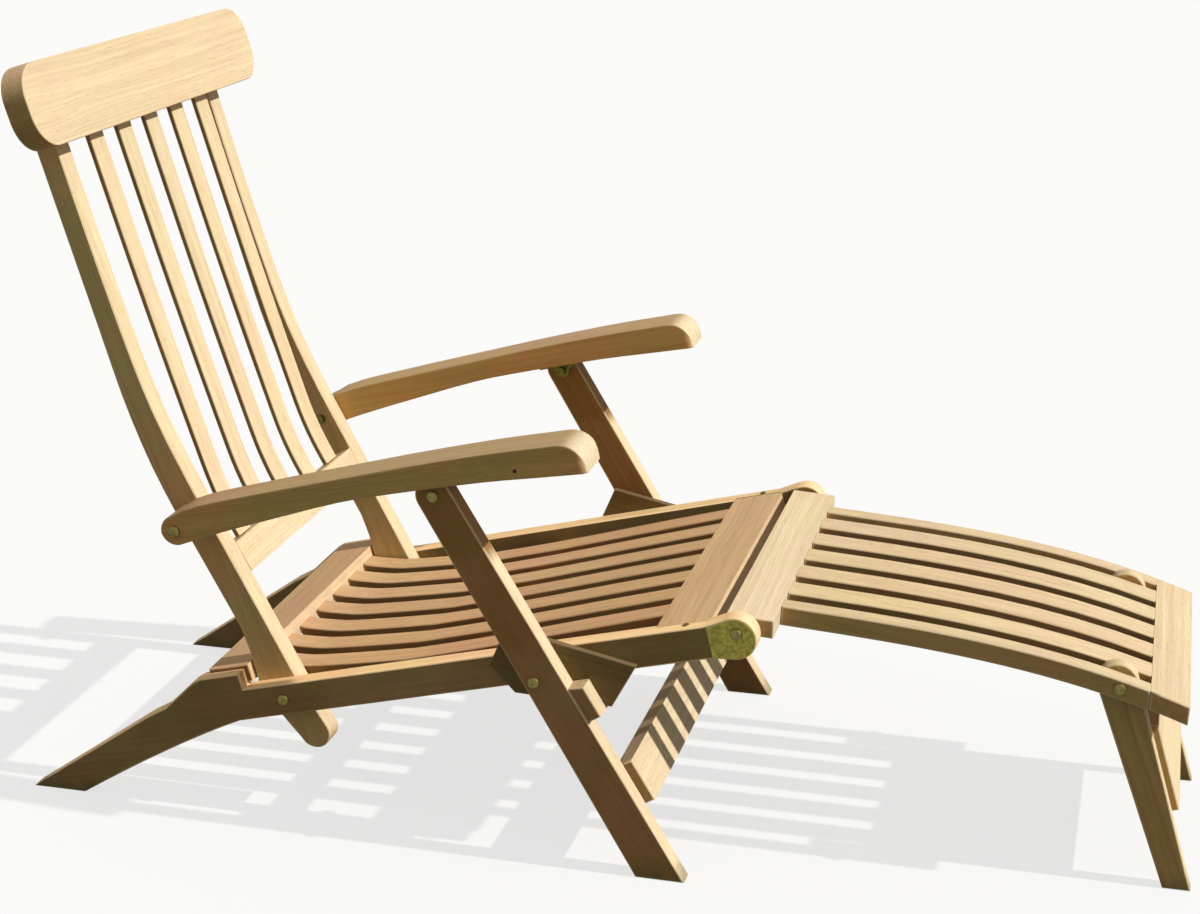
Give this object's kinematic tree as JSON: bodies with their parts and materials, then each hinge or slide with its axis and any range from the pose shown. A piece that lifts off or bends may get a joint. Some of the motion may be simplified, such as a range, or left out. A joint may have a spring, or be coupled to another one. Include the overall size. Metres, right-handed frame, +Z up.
{
  "type": "steamer deck chair",
  "caption": "Folding slatted teak lounge chair with a reclined back, curved arms and an arched leg rest on its own folding legs.",
  "frame": {"origin": "middle of the bounding box in plan, on the floor that the feet stand on", "axes": "+X towards the foot end, +Y to the sitter's left, +Z up"},
  "size_m": [1.4871, 0.61, 0.963],
  "materials": {
    "teak": "oiled bare teak",
    "brass": "weathered solid brass"
  },
  "bodies": {
    "seat_frame": {"side_rail_right": "teak", "side_rail_left": "teak", "seat_rear_board": "teak", "seat_front_board": "teak", "seat_batten": "teak", "seat_slat_1": "teak", "seat_slat_2": "teak", "seat_slat_3": "teak", "seat_slat_4": "teak", "seat_slat_5": "teak", "seat_slat_6": "teak", "seat_slat_7": "teak", "back_pivot_bolt_right": "brass", "back_pivot_bolt_left": "brass", "leg_pivot_bolt_right": "brass", "leg_pivot_bolt_left": "brass", "hinge_plate_right": "brass", "hinge_plate_left": "brass", "footrest_hinge_bolt_right": "brass", "footrest_hinge_bolt_left": "brass", "front_board_screw_right": "brass", "front_board_screw_left": "brass"},
    "back": {"back_stile_right": "teak", "back_stile_left": "teak", "headrest": "teak", "back_lower_rail": "teak", "back_slat_1": "teak", "back_slat_2": "teak", "back_slat_3": "teak", "back_slat_4": "teak", "back_slat_5": "teak", "arm_pivot_bolt_right": "brass", "arm_pivot_bolt_left": "brass"},
    "arms": {"armrest_right": "teak", "armrest_left": "teak", "arm_bracket_right": "brass", "arm_bracket_left": "brass", "arm_leg_bolt_right": "brass", "arm_leg_bolt_left": "brass"},
    "front_leg_frame": {"front_leg_right": "teak", "front_leg_left": "teak", "front_stretcher": "teak", "leg_stop_right": "teak", "leg_stop_left": "teak", "leg_spacer_right": "teak", "leg_spacer_left": "teak"},
    "leg_rest": {"footrest_rear_board": "teak", "footrest_front_board": "teak", "footrest_rail_right": "teak", "footrest_rail_left": "teak", "footrest_slat_1": "teak", "footrest_slat_2": "teak", "footrest_slat_3": "teak", "footrest_slat_4": "teak", "footrest_slat_5": "teak", "knee_bolt_right": "brass", "knee_bolt_left": "brass"},
    "leg_rest_legs": {"footrest_leg_right": "teak", "footrest_leg_left": "teak", "footrest_leg_crossboard": "teak"}
  },
  "joints": [
    {"name": "back_fold", "type": "hinge", "parent": "seat_frame", "child": "back", "pos_m": [-0.376, 0, 0.168], "axis": [0, 1, 0], "range_deg": [0, 85]},
    {"name": "arm_fold", "type": "hinge", "parent": "back", "child": "arms", "pos_m": [-0.495, 0, 0.394], "axis": [0, 1, 0], "range_deg": [-85, 0]},
    {"name": "front_leg_fold", "type": "hinge", "parent": "seat_frame", "child": "front_leg_frame", "pos_m": [-0.033, 0, 0.246], "axis": [0, 1, 0], "range_deg": [0, 85]},
    {"name": "leg_rest_fold", "type": "hinge", "parent": "seat_frame", "child": "leg_rest", "pos_m": [0.20604, 0, 0.31992], "axis": [0, 1, 0], "range_deg": [0, 85]},
    {"name": "leg_rest_leg_fold", "type": "hinge", "parent": "leg_rest", "child": "leg_rest_legs", "pos_m": [0.64357, 0, 0.26618], "axis": [0, 1, 0], "range_deg": [0, 108]}
  ],
  "couplings": [
    {"joint": "arm_fold", "follows": "back_fold", "ratio": -1},
    {"joint": "front_leg_fold", "follows": "back_fold", "ratio": 1}
  ]
}
